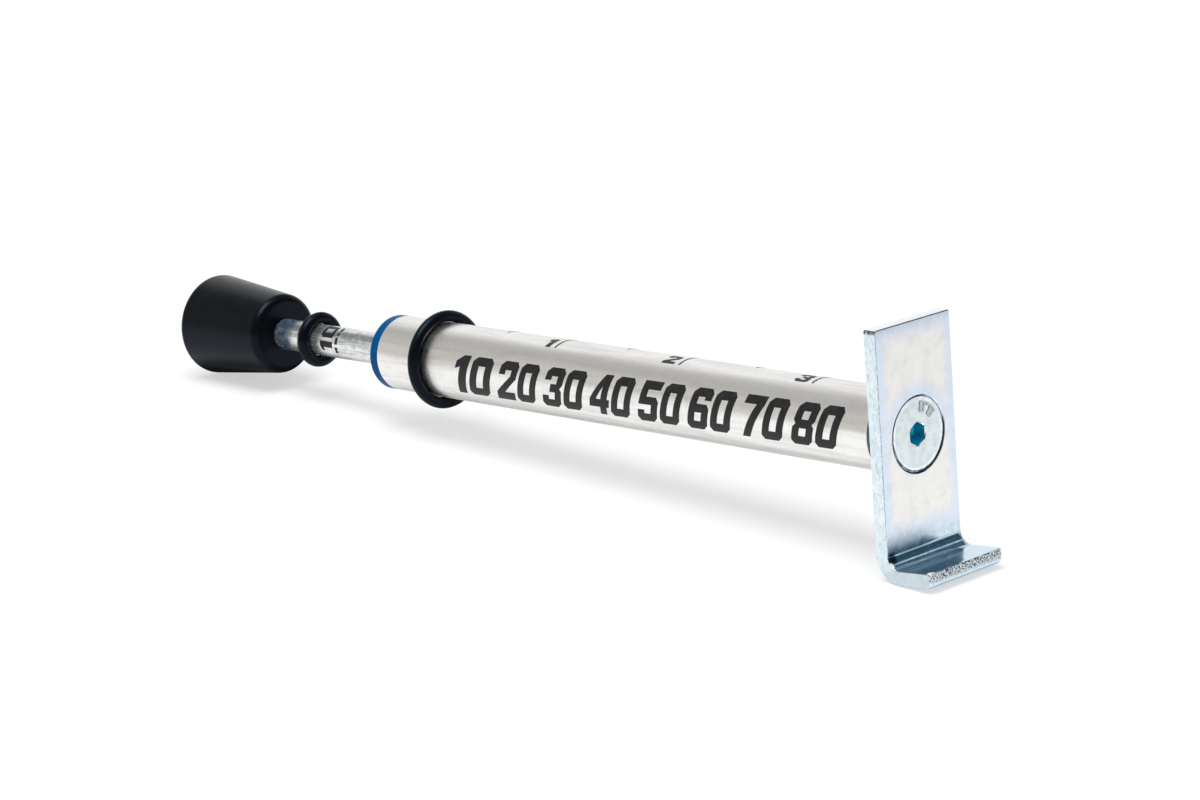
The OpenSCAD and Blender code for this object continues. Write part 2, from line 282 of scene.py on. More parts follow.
def zinc_plate():
    """Bright zinc on rolled steel: warm in the middle and pale blue at the margins, with painted dark
    reflection and shade near the bend and on the edges, and painted highlights at the corners.
    """
    g = Graph("zinc_plate")
    x, y, z = g.xyz()
    cloud = g.noise(0.45, 4, 0.6, 5.0, 0.5)
    fine = g.noise(2.2, 4, 0.65, 7.0)
    scratch = g.noise((1.0, 7.0, 0.5), 3, 0.6, 2.0, 0.0, (0.5, 0, 0))
    across = g.plus(g.math("ABSOLUTE", y), g.times(cloud, 1.6))
    middle = g.times(g.band(across, 6.2, 7.7, 1.0, 0.0), g.band(z, -13.0, -10.6))
    middle = g.times(middle, g.band(z, 12.9, 15.4, 1.0, 0.0))
    halo = g.times(g.band(g.from_axis(), 5.9, 7.8, 1.0, 0.0), g.band(z, -2.0, 3.0))
    middle = g.times(middle, g.less(1.0, halo))
    middle = g.times(middle, g.band(x, -0.5, -0.3))
    base = g.mix(middle, colour(217, 230, 243), colour(237, 236, 233))
    fringe = g.times(g.times(middle, g.less(1.0, middle)), 1.6)
    base = g.mix(fringe, base, colour(230, 226, 240))
    base = g.mix(g.band(cloud, 0.5, 0.8, 0.0, 0.35), base, colour(208, 217, 226))
    base = g.mix(g.band(fine, 0.60, 0.74, 0.0, 0.30), base, colour(178, 184, 190))
    base = g.mix(g.band(scratch, 0.66, 0.70, 0.0, 0.35), base, colour(160, 164, 170))
    # Towards the bend a mottled painted dark reflection darkens the plate, and in the bend the plating is
    # drawn into streaks.
    bend_reflection_mottle = g.noise(0.9, 5, 0.7, 19.0, 0.4)
    low = g.times(g.band(z, bend_z + 3.2, bend_z + 0.2), g.band(bend_reflection_mottle, 0.30, 0.62))
    low = g.times(low, g.band(x, bend_r + 0.5, bend_r))
    base = g.mix(g.times(low, 0.35), base, colour(138, 168, 182))
    lip = g.times(g.band(x, bend_r + 0.2, bend_r + 0.8), g.band(z, bend_z + 0.4, bend_z))
    base = g.mix(lip, base, colour(203, 225, 238))
    streak = g.noise((5.0, 0.35, 5.0), 4, 0.65, 23.0, 0.0, (0.12, 0, 0))
    drawn = g.mix(g.band(streak, 0.52, 0.66), colour(168, 194, 210), colour(232, 242, 248))
    bent = g.times(g.band(z, bend_z + 0.5, bend_z - 0.3), g.band(x, bend_r + 0.5, bend_r + 0.1))
    base = g.mix(bent, base, drawn)
    # Painted shade: a dark spot in the crease at the near end of the bend.
    crease_shade = g.near((0.2, 0.8 - plate_half, bend_z - 0.55), 0.45, 1.1)
    base = g.mix(g.times(crease_shade, 0.9), base, colour(40, 44, 48))
    # Painted highlights on the corners at the ends of the bend and the lip, which are also made dull.
    lip_x, lip_z = lip_point(lip_run - 0.35, 0)
    lip_corner = g.near((lip_x, 0.75 - plate_half, lip_z), 0.4, 0.75)
    bend_corner = g.near((0.55, 0.1 - plate_half, bend_z - 1.3), 0.3, 0.6)
    worn = g.math("MAXIMUM", lip_corner, bend_corner)
    # Past a half round before the bend's far end, a painted highlight covers the drawn streaks.
    end_from = plate_half - 1.5
    end_y = g.math("MAXIMUM", g.math("DIVIDE", g.less(y, end_from), 1.1), 0.0)
    end_z = g.less(z, bend_z - 1.1)
    past = g.plus(g.times(end_y, end_y), g.times(end_z, end_z))
    past = g.times(g.band(past, 0.85, 1.2), g.band(y, end_from, end_from + 0.3))
    worn = g.math("MAXIMUM", worn, g.times(g.times(past, bent), 0.6))
    # The mask worn holds the painted highlights: white here, and rougher below.
    base = g.mix(worn, base, colour(252, 254, 255))
    # A painted shade line runs along the upper front edge of the lip, away from its near corner.
    front = g.plus(g.times(x, lip_way[0]), g.times(z, lip_way[1]))
    line = g.times(g.band(front, lip_far - 0.24, lip_far - 0.16), g.band(y, -3.0, 1.0, 0.2, 0.9))
    line = g.times(line, g.band(g.times(z, lip_up[1]), lip_z - 0.35, lip_z - 0.2))
    base = g.mix(line, base, colour(66, 82, 92))
    rough = g.band(cloud, 0.3, 0.7, 0.24, 0.32)
    polish = g.band(z, bend_z + 1.5, bend_z - 0.5)
    rough = g.less(rough, g.times(polish, 0.14))
    rough = g.plus(rough, g.band(x, bend_r + 0.6, bend_r + 1.6, 0.0, 0.05))
    rough = g.plus(rough, g.times(worn, 0.6))
    g.set(base_color=base, metallic=1.0, roughness=rough, normal=g.bump(fine, 0.12, 0.02))
    return g.material


def sheared_edge():
    """The plate's cut sides: pale and faintly pitted, with painted shade below the bend and a painted
    highlight along the top.
    """
    g = Graph("sheared_edge")
    z = g.xyz()[2]
    pit = g.noise((3.6, 3.6, 1.7), 4, 0.75, 13.0, 0.5, (0, 0.5, 0))
    cloud = g.noise(0.6, 3, 0.5, 15.0)
    base = g.mix(g.band(cloud, 0.3, 0.7), colour(234, 244, 249), colour(218, 233, 240))
    base = g.mix(g.band(pit, 0.52, 0.62, 0.0, 0.40), base, colour(140, 158, 168))
    # Painted shade: the cut sides darken below the bend.
    base = g.mix(g.band(z, bend_z - 0.5, bend_z - 3.0, 0.0, 0.8), base, colour(194, 206, 214))
    burr = g.times(g.band(z, plate_top - 0.75, plate_top - 0.35), g.band(pit, 0.40, 0.50))
    base = g.mix(burr, base, colour(96, 104, 108))
    # Painted highlight: the top of the cut sides is nearly white.
    base = g.mix(g.band(z, plate_top - 0.12, plate_top - 0.04), base, colour(246, 250, 252))
    g.set(base_color=base, metallic=1.0)
    g.set(roughness=g.band(pit, 0.35, 0.65, 0.3, 0.45), normal=g.bump(pit, 0.35, 0.06))
    return g.material


def edge_line():
    """Painted shade on the rounded front edges, the dark line of a sharp edge: whole along the top, broken
    up below.
    """
    g = Graph("edge_line")
    z = g.xyz()[2]
    gap = g.noise((1.2, 1.2, 1.9), 3, 0.7, 41.0)
    top = g.band(z, plate_top - 0.6, plate_top - 0.3)
    ends = g.band(z, -14.0, -6.0, 0.4, 1.0)
    broken = g.times(g.band(gap, 0.32, 0.54), ends)
    dark = g.mix(top, colour(140, 157, 166), colour(112, 124, 132))
    base = g.mix(g.math("MAXIMUM", top, broken), colour(220, 233, 240), dark)
    g.set(base_color=base, metallic=1.0, roughness=g.band(gap, 0.3, 0.7, 0.34, 0.46))
    return g.material


def dark_well():
    """The broken edge of the hole round the screw's head: slate for painted shade, with a painted highlight
    on one side.
    """
    g = Graph("dark_well")
    cloud = g.noise(0.8, 3, 0.5, 43.0)
    base = g.mix(g.band(cloud, 0.40, 0.60), colour(86, 108, 122), colour(142, 164, 176))
    # The arc is a painted highlight: white and less metallic.
    arc = g.bright_arc()
    base = g.mix(arc, base, colour(240, 247, 252))
    g.set(base_color=base, metallic=g.band(arc, 0.0, 1.0, 1.0, 0.2))
    g.set(roughness=g.band(cloud, 0.3, 0.7, 0.3, 0.4))
    return g.material


def torn_edge():
    """The broken upper part of the lip's front edge: bright and dark grains that thin out downwards."""
    g = Graph("torn_edge")
    x, _, z = g.xyz()
    grain = g.noise((4.6, 3.4, 5.2), 2, 0.6, 17.0, 0.2)
    down = g.plus(g.times(x, -lip_up[0]), g.times(z, -lip_up[1]))
    lip_x, lip_z = lip_point(0, 0)
    lip_face = -lip_x * lip_up[0] - lip_z * lip_up[1]
    fewer = g.band(down, lip_face + plate_t * 0.40, lip_face + plate_t * 0.66, 0.0, 0.10)
    dark = g.band(g.less(grain, fewer), 0.50, 0.56)
    base = g.mix(dark, colour(236, 245, 250), colour(38, 56, 68))
    g.set(base_color=base, metallic=1.0, roughness=0.42, normal=g.bump(grain, 0.9, 0.25))
    return g.material


def screw_zinc():
    """Blue zinc: a pale face with a painted highlight ring, a slate rim of painted shade that is widest at
    the lower left and left out on the upper right, and a deep blue socket.
    """
    g = Graph("screw_zinc")
    x, y, z = g.xyz()
    cloud = g.noise(0.8, 3, 0.5, 8.0)
    fine = g.noise(4.0, 3, 0.6, 18.0)
    base = g.mix(g.band(cloud, 0.35, 0.7), colour(222, 231, 232), colour(210, 221, 224))
    base = g.mix(g.band(fine, 0.6, 0.72, 0.0, 0.2), base, colour(170, 182, 188))
    ring = g.from_axis()
    # Painted highlight: a bright ring just inside the rim.
    lit = g.times(g.band(ring, head_r - 0.75, head_r - 0.60), g.band(cloud, 0.42, 0.56))
    base = g.mix(lit, base, colour(250, 253, 255))
    # Painted shade: a slate ring on the rim, wider towards the lower left and left out where the painted
    # highlight is.
    wide = g.less(ring, g.times(g.plus(y, z), 0.025))
    rim = g.times(g.band(wide, head_r - 0.30, head_r - 0.22), g.less(1.0, g.bright_arc()))
    slate = g.mix(g.band(cloud, 0.40, 0.60), colour(74, 96, 110), colour(128, 150, 164))
    base = g.mix(rim, base, slate)
    deep = g.times(g.band(x, head_x - 0.25, head_x - 0.45), g.band(ring, 2.6, 2.2))
    base = g.mix(deep, base, colour(62, 208, 232))
    rough = g.plus(g.band(cloud, 0.3, 0.7, 0.22, 0.30), g.times(deep, 0.22))
    g.set(base_color=base, metallic=1.0, roughness=rough, normal=g.bump(fine, 0.1, 0.02))
    return g.material


def rod_zinc():
    """Bright drawn rod: streaks along it and a bluish mottle, with a painted shade band along its upper side
    and a painted dark bluish reflection of the knob next to it.
    """
    g = Graph("rod_zinc")
    x, _, z = g.xyz()
    cloud = g.noise((0.9, 1.1, 1.1), 5, 0.7, 4.0, 0.6)
    draw = g.noise((0.16, 4.0, 4.0), 3, 0.6, 1.0)
    base = g.mix(g.band(cloud, 0.40, 0.70), colour(238, 238, 236), colour(190, 198, 204))
    base = g.mix(g.band(draw, 0.46, 0.66, 0.0, 0.6), base, colour(138, 146, 152))
    inner = g.band(x, knob_high.x + 4.4, knob_high.x + 3.0)
    # Painted shade: a darker band along the rod's upper side.
    shade = g.times(g.band(z, 1.3, 1.7), g.band(z, 2.4, 2.1))
    base = g.mix(g.times(shade, g.band(cloud, 0.3, 0.6, 0.4, 0.8)), base, colour(128, 138, 144))
    # Painted reflection of the black knob: next to it the rod is mottled dark bluish and less metallic.
    mottle = g.times(inner, g.band(cloud, 0.42, 0.56))
    base = g.mix(g.times(mottle, 0.8), base, colour(66, 92, 116))
    base = g.mix(g.times(inner, 0.6), base, colour(70, 104, 140))
    g.set(base_color=base, metallic=g.less(0.84, g.times(inner, 0.16)))
    g.set(roughness=g.band(cloud, 0.3, 0.7, 0.20, 0.32), normal=g.bump(draw, 0.25, 0.02))
    return g.material


def plain_metal(name, shade, rough, seed):
    """A machined metal with a faint mottle."""
    g = Graph(name)
    cloud = g.noise(1.1, 4, 0.6, seed)
    dark = tuple(c * 0.72 for c in shade)
    g.set(base_color=g.mix(g.band(cloud, 0.35, 0.7), shade, dark), metallic=1.0)
    g.set(roughness=g.band(cloud, 0.3, 0.7, rough, rough + 0.14), normal=g.bump(cloud, 0.15, 0.02))
    return g.material


def rubber(name, shade, rough, seed, dull_from):
    """Moulded rubber, rubbed dull on its underside."""
    g = Graph(name)
    fine = g.noise(7.0, 3, 0.6, seed)
    broad = g.noise(0.4, 3, 0.5, seed + 2)
    base = g.mix(g.band(broad, 0.35, 0.7), shade, tuple(c * 1.35 for c in shade))
    spread = 0.04
    grain = g.band(fine, 0.3, 0.7, rough - spread, rough + spread)
    grain = g.plus(grain, g.band(broad, 0.3, 0.7, -0.02, 0.04))
    rough = g.plus(grain, g.band(g.xyz()[2], -dull_from, -dull_from - 1.6, 0.0, 0.45))
    g.set(base_color=base, roughness=rough, specular_ior_level=0.17, specular_tint=(0.42, 0.66, 1.0, 1.0))
    g.set(normal=g.bump(fine, 0.06, 0.02))
    return g.material


def blue_plastic():
    """Satin blue plastic with little gloss."""
    g = Graph("blue_bush")
    fine = g.noise(3.0, 3, 0.6, 6.0)
    g.set(base_color=g.mix(g.band(fine, 0.3, 0.7), colour(0, 80, 136), colour(0, 68, 118)))
    g.set(specular_ior_level=0.06, specular_tint=(0.10, 0.60, 1.0, 1.0))
    g.set(roughness=g.band(fine, 0.3, 0.7, 0.3, 0.42), normal=g.bump(fine, 0.1, 0.02))
    return g.material


def worn_slate(name, dark, pale):
    """The strength number that stands on the screw's head."""
    g = Graph(name)
    wear = g.noise(2.6, 3, 0.6, 45.0)
    g.set(base_color=g.mix(g.band(wear, 0.35, 0.65), dark, pale))
    g.set(metallic=1.0, roughness=g.band(wear, 0.3, 0.7, 0.3, 0.4))
    return g.material


def ink():
    """Black print, a little worn."""
    g = Graph("black_ink")
    wear = g.noise((2.0, 1.2, 1.2), 4, 0.65, 9.0)
    g.set(base_color=g.mix(g.band(wear, 0.4, 0.75), colour(16, 16, 18), colour(36, 37, 41)))
    g.set(roughness=g.band(wear, 0.3, 0.7, 0.36, 0.5), specular_ior_level=0.3)
    return g.material


finishes = {
    "barrel_tube": satin_aluminium(),
    "end_plug": plain_metal("plug_aluminium", colour(205, 205, 207), 0.3, 21.0),
    "belt_bracket": zinc_plate(),
    "bracket_screw": screw_zinc(),
    "guide_bush": blue_plastic(),
    "force_spring": plain_metal("spring_steel", colour(150, 152, 156), 0.28, 23.0),
    "plunger_rod": rod_zinc(),
    "spring_collar": plain_metal("collar_brass", colour(205, 168, 92), 0.3, 25.0),
    "collar_clip": plain_metal("clip_steel", colour(92, 94, 100), 0.35, 27.0),
    "knob": rubber("black_rubber", colour(9, 8, 8), 0.27, 31.0, 5.2),
    "knob_disc": plain_metal("disc_steel", colour(160, 163, 168), 0.3, 29.0),
    "force_ring": rubber("ring_rubber", colour(9, 9, 11), 0.30, 33.0, 5.8),
}
finishes["deflection_ring"] = finishes["force_ring"]
# The sharp edges of the tube's ends are broken a little.
broken_edge = nodes["barrel_tube"].modifiers.new("broken_edge", "BEVEL")
broken_edge.width = 0.12 * MM
broken_edge.segments = 2
broken_edge.angle_limit = math.radians(60)
for name, finish in finishes.items():
    mesh = nodes[name].data
    mesh.materials.clear()
    mesh.materials.append(finish)


# The bracket and its screw, with the small rounded edges that the plain solids leave out.
SHARP = math.radians(28)


def piece_from(bm, name, finish):
    """A new object from a bmesh, smooth but for its sharp edges."""
    bmesh.ops.recalc_face_normals(bm, faces=bm.faces[:])
    mesh = bpy.data.meshes.new(name)
    bm.to_mesh(mesh)
    bm.free()
    for m in finish if isinstance(finish, list) else [finish]:
        mesh.materials.append(m)
    piece = bpy.data.objects.new(name, mesh)
    bpy.context.scene.collection.objects.link(piece)
    for f in mesh.polygons:
        f.use_smooth = True
    mesh.set_sharp_from_angle(angle=SHARP)
    return piece


def lathe(outline):
    """A bmesh turned round the tool's axis from (x, radius) points, closed at both ends."""
    turns = 96
    spots = [2 * math.pi * i / turns for i in range(turns)]
    bm = bmesh.new()
    rings = []
    for x, r in outline:
        if r == 0:
            rings.append([bm.verts.new(to_row(x, 0, 0))])
        else:
            rings.append([bm.verts.new(to_row(x, r * math.cos(a), r * math.sin(a))) for a in spots])
    for a, b in zip(rings, rings[1:]):
        for i in range(turns):
            j = (i + 1) % turns
            loop = [a[i % len(a)], a[j % len(a)], b[j % len(b)], b[i % len(b)]]
            bm.faces.new(list(dict.fromkeys(loop)))
    return bm


def carve(piece, cutter):
    """Takes the cutter out of the piece."""
    m = piece.modifiers.new("carve", "BOOLEAN")
    m.object = cutter
    m.solver = "EXACT"
    bpy.context.view_layer.update()
    done = bpy.data.meshes.new_from_object(piece.evaluated_get(bpy.context.evaluated_depsgraph_get()))
    piece.modifiers.clear()
    old = piece.data
    done.name = old.name
    piece.data = done
    bpy.data.meshes.remove(old)
    bpy.data.objects.remove(cutter)
    for f in done.polygons:
        f.use_smooth = True
    done.set_sharp_from_angle(angle=SHARP)


def rounding(centre, radius, start, end, steps):
    """Points of an arc in the x, z plane, in degrees."""
    turns = [math.radians(start + (end - start) * i / steps) for i in range(steps + 1)]
    return [(centre[0] + radius * math.cos(a), centre[1] + radius * math.sin(a)) for a in turns]


def bracket_outline():
    """The bracket's side outline with its small roundings: down the front, round the lip and up the back."""
    turn = bend_end - 270
    flat = 18
    bend = 28
    points = rounding((-soft_r, plate_top - soft_r), soft_r, 90, 0, 5)
    points += [(0, plate_top - soft_r + (bend_z - plate_top + soft_r) * i / flat) for i in range(1, flat)]
    points += rounding((bend_r, bend_z), bend_r, 180, bend_end, bend)
    points += [lip_point((lip_run - soft_r) * i / 6, 0) for i in range(1, 6)]
    points += rounding(lip_point(lip_run - soft_r, soft_r), soft_r, 90 + turn, turn, 4)
    points += [lip_point(lip_run, soft_r + (plate_t - roll_r - soft_r) * i / 4) for i in range(1, 4)]
    points += rounding(lip_point(lip_run - roll_r, plate_t - roll_r), roll_r, turn, turn - 90, 8)
    points += [lip_point((lip_run - roll_r) * i / 4, plate_t) for i in range(3, 0, -1)]
    points += rounding((bend_r, bend_z), bend_r + plate_t, bend_end, 180, bend)
    points += [(-plate_t, bend_z + (plate_top - soft_r - bend_z) * i / flat) for i in range(1, flat)]
    points += rounding((soft_r - plate_t, plate_top - soft_r), soft_r, 180, 90, 5)
    return points


def corner_drop(y, radius):
    """How far a rounded corner has fallen back at a place across the sheet."""
    past = max(0.0, y - plate_half + radius)
    return radius - math.sqrt(max(0.0, radius**2 - past**2))


def bracket_body():
    """The bent sheet as a bmesh: the side outline set out across it, with rounded edges and corners."""
    outline = bracket_outline()
    count = len(outline)
    inward = []
    for i in range(count):
        a, b = outline[i - 1], outline[(i + 1) % count]
        d = Vector((b[0] - a[0], b[1] - a[1])).normalized()
        inward.append((d.y, -d.x))
    # Places across the sheet: close together at the rounded sides and corners, wider apart in the middle.
    turns = [math.radians(a) for a in (90, 60, 30, 0)]
    edge = [(plate_half - soft_r * (1 - math.sin(a)), soft_r * (1 - math.cos(a))) for a in turns]
    sines = [math.sin(math.radians(a)) for a in (60, 45, 30, 15, 0)]
    corner = {plate_half - r * (1 - sine) for r in (corner_r, lip_corner_r) for sine in sines}
    corner = sorted(corner, reverse=True)
    least = 0.02
    parts = 14
    right = edge + [(y, 0.0) for y in corner if y < edge[-1][0] - least]
    middle = [(right[-1][0] * (1 - 2 * i / parts), 0.0) for i in range(1, parts)]
    stations = sorted([(-y, inset) for y, inset in right + middle] + right)
    # The corners' roundings fade out over these lengths below the top and behind the lip's end.
    top_reach = 3
    lip_reach = 2
    bm = bmesh.new()
    rings = []
    for y, inset in stations:
        drop = corner_drop(abs(y), corner_r)
        pull = corner_drop(abs(y), lip_corner_r)
        ring = []
        for (x, z), n in zip(outline, inward):
            x, z = x + n[0] * inset, z + n[1] * inset
            z -= drop * max(0.0, min(1.0, (z - plate_top + top_reach) / top_reach))
            along = (x - bend_r) * lip_way[0] + (z - bend_z) * lip_way[1]
            share = max(0.0, min(1.0, (along - lip_run + lip_reach) / lip_reach)) if z < bend_z else 0.0
            x, z = x - lip_way[0] * pull * share, z - lip_way[1] * pull * share
            ring.append(bm.verts.new(to_row(x, y, z)))
        rings.append(ring)
    for a, b in zip(rings, rings[1:]):
        for i in range(count):
            j = (i + 1) % count
            bm.faces.new((a[i], a[j], b[j], b[i]))
    for ring in (rings[0], rings[-1]):
        bm.faces.new(ring)
    bmesh.ops.triangulate(bm, faces=[f for f in bm.faces if len(f.verts) > 4])
    return bm


plate_finishes = [finishes["belt_bracket"], sheared_edge(), torn_edge(), edge_line(), dark_well()]
FACE, CUT_SIDE, TORN, EDGE_SHADE, WELL = range(5)
plate = piece_from(bracket_body(), "bracket_body", plate_finishes)
well_r = head_r + 0.05
break_r = well_r + 0.08
break_deep = 0.1
back_r = hole_back_r + 0.02
past_plate = 1
well = [(past_plate, 0), (past_plate, break_r), (0.0, break_r), (-break_deep, well_r), (land_x, well_r)]
well += [(-plate_t, back_r), (-plate_t - past_plate, back_r), (-plate_t - past_plate, 0)]
carve(plate, piece_from(lathe(well), "well", finishes["belt_bracket"]))
# Each face takes its finish from where it lies and which way it looks.
torn_deep = plate_t * 0.68
for f in plate.data.polygons:
    spot, n = to_tool(f.center), f.normal
    along = (spot.x - bend_r) * lip_way[0] + (spot.z - bend_z) * lip_way[1]
    below = -((spot.x - bend_r) * lip_up[0] + (spot.z - bend_z) * lip_up[1]) - bend_r
    pull = corner_drop(abs(spot.y), lip_corner_r)
    ahead, up, out = n.dot(axis), n.dot(rise), abs(n.y)
    if math.hypot(spot.y, spot.z) < break_r and spot.x > -plate_t and abs(ahead) < 0.9:
        f.material_index = WELL
    elif min(max(ahead, up), max(out, min(ahead, up))) > 0.4 and spot.z > bend_z and spot.x > -plate_t / 2:
        f.material_index = EDGE_SHADE
    elif out > 0.8 or (spot.z > plate_top - 0.1 and up > 0.8):
        f.material_index = CUT_SIDE
    elif along + pull > lip_run - 0.2 and spot.z < bend_z and 0.02 < below < torn_deep:
        f.material_index = TORN
    else:
        f.material_index = FACE
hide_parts("belt_bracket")
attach(plate, "barrel")


def screw_body():
    """The countersunk screw with a rounded rim, a chamfered hexagon socket and its shank."""
    finish = finishes["bracket_screw"]
    rim = 0.22
    face = rounding((head_x - rim, head_r - rim), rim, 0, 90, 5)
    tip_r = shank_r * 0.75
    neck = land_x - (head_r - shank_r)
    outline = [(head_x, 0), (head_x, head_r * 0.6)] + face + [(land_x, head_r), (neck, shank_r)]
    outline += [(screw_low.x + shank_r - tip_r, shank_r), (screw_low.x, tip_r), (screw_low.x, 0)]
    made = piece_from(lathe(outline), "screw_body", finish)
    half_across = 1.5
    corners = half_across / math.cos(math.pi / 6)
    socket = ((head_x + 0.5, corners), (head_x - 2, corners), (head_x - 2.7, 0.2))
    bm = bmesh.new()
    rings = []
    spots = [math.pi / 3 * i + math.pi / 2 for i in range(6)]
    for x, r in socket:
        rings.append([bm.verts.new(to_row(x, r * math.cos(a), r * math.sin(a))) for a in spots])
    for a, b in zip(rings, rings[1:]):
        for i in range(6):
            bm.faces.new((a[i], a[(i + 1) % 6], b[(i + 1) % 6], b[i]))
    bm.faces.new(rings[0])
    bm.faces.new(rings[-1])
    carve(made, piece_from(bm, "hexagon", finish))
    over, under = head_x + 0.3, head_x - 0.1
    lead = lathe([(over, 0), (over, corners + 0.2), (under, corners - 0.12), (under, 0)])
    carve(made, piece_from(lead, "lead", finish))
    return made


screw = screw_body()
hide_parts("bracket_screw")
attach(screw, "barrel")

# The spring is a copy of the CAD spring on the barrel; left is the share of its length that is left when the
# plunger is pushed fully in.
coil_low, coil_high = span("force_spring")
spring = bpy.data.objects.new("spring_wire", nodes["force_spring"].data.copy())
bpy.context.scene.collection.objects.link(spring)
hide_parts("force_spring")
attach(spring, "barrel")
slide = next(j for j in frame["record"]["behaviour"]["joints"] if j["name"] == "plunger_slide")
left = 1 - max(slide["range_m"]) / MM / (coil_high.x - coil_low.x)
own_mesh(spring)


# Printed marks: flat outlines on a 6 by 9 grid, laid round the tube or the rod as a thin film.
def boxed(x0, y0, x1, y1):
    """The outline of a rectangle."""
    return [(x0, y0), (x1, y0), (x1, y1), (x0, y1)]


OCTAGON = [(1, 0), (5, 0), (6, 1), (6, 8), (5, 9), (1, 9), (0, 8), (0, 1)]
THREE = [(1, 0), (5, 0), (6, 1), (6, 3.8), (5.3, 4.5), (6, 5.2), (6, 8), (5, 9), (1, 9), (0, 8), (0, 6.2)]
THREE += [(2, 6.2), (2, 7.1), (4, 7.1), (4, 5.4), (2.2, 5.4), (2.2, 3.6), (4, 3.6), (4, 1.9), (2, 1.9)]
THREE += [(2, 2.8), (0, 2.8), (0, 1)]
SIX = [(1, 0), (5, 0), (6, 1), (6, 4.6), (5, 5.6), (2, 5.6), (2, 7.1), (4, 7.1), (4, 6.4), (6, 6.4), (6, 8)]
SIX += [(5, 9), (1, 9), (0, 8), (0, 1)]
DIGITS = {
    "0": [OCTAGON, boxed(2, 2, 4, 7)],
    "1": [[(1.6, 0), (3.9, 0), (3.9, 9), (1.9, 9), (0.2, 7.6), (0.2, 5.9), (1.6, 6.4)]],
    "2": [[(0, 0), (6, 0), (6, 2), (2.7, 2), (6, 5.2), (6, 8), (5, 9), (1, 9), (0, 8), (0, 6), (2, 6),
           (2, 7), (4, 7), (4, 5.7), (0, 2)]],
    "3": [THREE],
    "4": [[(3.4, 0), (5.4, 0), (5.4, 1.8), (6.2, 1.8), (6.2, 3.6), (5.4, 3.6), (5.4, 9), (3, 9), (0, 3.6),
           (0, 1.8), (3.4, 1.8)], [(3.4, 3.6), (1.9, 3.6), (3.4, 6.5)]],
    "5": [[(1, 0), (5, 0), (6, 1), (6, 4.6), (5, 5.6), (2, 5.6), (2, 7.1), (5.7, 7.1), (5.7, 9), (0, 9),
           (0, 3.9), (4, 3.9), (4, 1.9), (2, 1.9), (2, 2.7), (0, 2.7), (0, 1)]],
    "6": [SIX, boxed(2, 1.9, 4, 3.8)],
    "7": [[(1.2, 0), (3.4, 0), (6, 7.1), (6, 9), (0, 9), (0, 7.1), (3.7, 7.1)]],
    "8": [[(1, 0), (5, 0), (6, 1), (6, 3.8), (5.3, 4.5), (6, 5.2), (6, 8), (5, 9), (1, 9), (0, 8), (0, 5.2),
           (0.7, 4.5), (0, 3.8), (0, 1)], boxed(2, 1.9, 4, 3.6), boxed(2, 5.4, 4, 7.1)],
    "9": [[(6 - x, 9 - y) for x, y in SIX], boxed(2, 5.2, 4, 7.1)],
    ".": [boxed(0, 0, 2, 2)],
}
WIDTH = {"1": 4.1, ".": 2.0}
GRID_WIDE = 6.0
GRID_TALL = 9


def flat_mesh(outlines):
    """A bmesh of filled flat outlines in the x, y plane. Each outline is [outer, hole, ...]."""
    bm = bmesh.new()
    for loops in outlines:
        edges = []
        for loop in loops:
            ring = [bm.verts.new((x, y, 0)) for x, y in loop]
            edges += [bm.edges.new((a, b)) for a, b in zip(ring, ring[1:] + ring[:1])]
        bmesh.ops.triangle_fill(bm, use_beauty=True, use_dissolve=False, edges=edges)
    return bm


def cut(bm, low, high, step):
    """Splits a flat bmesh by lines along x, so that it can be bent round the axis."""
    across = Vector((0, 1, 0))
    at = math.floor(low / step) * step
    while at < high:
        geom = bm.verts[:] + bm.edges[:] + bm.faces[:]
        bmesh.ops.bisect_plane(bm, geom=geom, dist=1e-6, plane_co=across * at, plane_no=across)
        at += step


def film(bm, name, place, finish, body, thick=0.02):
    """Bends a flat bmesh by place(x, y, lift), gives it a little thickness and lets it ride on a body."""
    bm.normal_update()
    for f in bm.faces:
        if f.normal.z < 0:
            f.normal_flip()
    top = bm.faces[:]
    made = bmesh.ops.extrude_face_region(bm, geom=top)
    raised = {v for v in made["geom"] if isinstance(v, bmesh.types.BMVert)}
    bmesh.ops.delete(bm, geom=[f for f in top if f.is_valid], context="FACES_KEEP_BOUNDARY")
    for v in bm.verts:
        v.co = place(v.co.x, v.co.y, thick if v in raised else -thick)
    bmesh.ops.recalc_face_normals(bm, faces=bm.faces[:])
    mesh = bpy.data.meshes.new(name)
    bm.to_mesh(mesh)
    bm.free()
    mesh.materials.append(finish)
    piece = bpy.data.objects.new(name, mesh)
    bpy.context.scene.collection.objects.link(piece)
    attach(piece, body)
    return piece


def string(text, between=0.9):
    """Outlines of a row of digits on the 6 by 9 grid, and the row's width."""
    outlines, at = [], 0.0
    for digit in text:
        outlines.append([[(x + at, y) for x, y in loop] for loop in DIGITS[digit]])
        at += WIDTH.get(digit, GRID_WIDE) + between
    return outlines, at - between


def on_round(radius, twist=0.0, about=0.0):
    """place() for a film round the tube or rod: x along the axis, and y round it in mm, downwards from the
    top at the camera's side."""

    def place(x, y, lift):
        turn = math.pi / 2 + y / radius + math.radians(twist) * (x - about)
        r = radius + lift
        return to_row(x, r * math.cos(turn), r * math.sin(turn))

    return place


def laid(outlines, x, y, wide, tall, lean=0.0):
    """Outlines of digits, scaled by a grid step's width and height, leaned and moved to x, y."""

    def place(px, py):
        return px * wide + x + py * lean, py * tall + y

    return [[[place(px, py) for px, py in loop] for loop in glyph] for glyph in outlines]


def arc(degrees, radius=tube_r):
    """The arc length from the top to a turn round the tube or rod: 90 is the top, 180 the camera's side.

    It grows downwards, so the digits are drawn with a negative height."""
    return math.radians(degrees - 90) * radius


black = ink()
INCH = 25.4
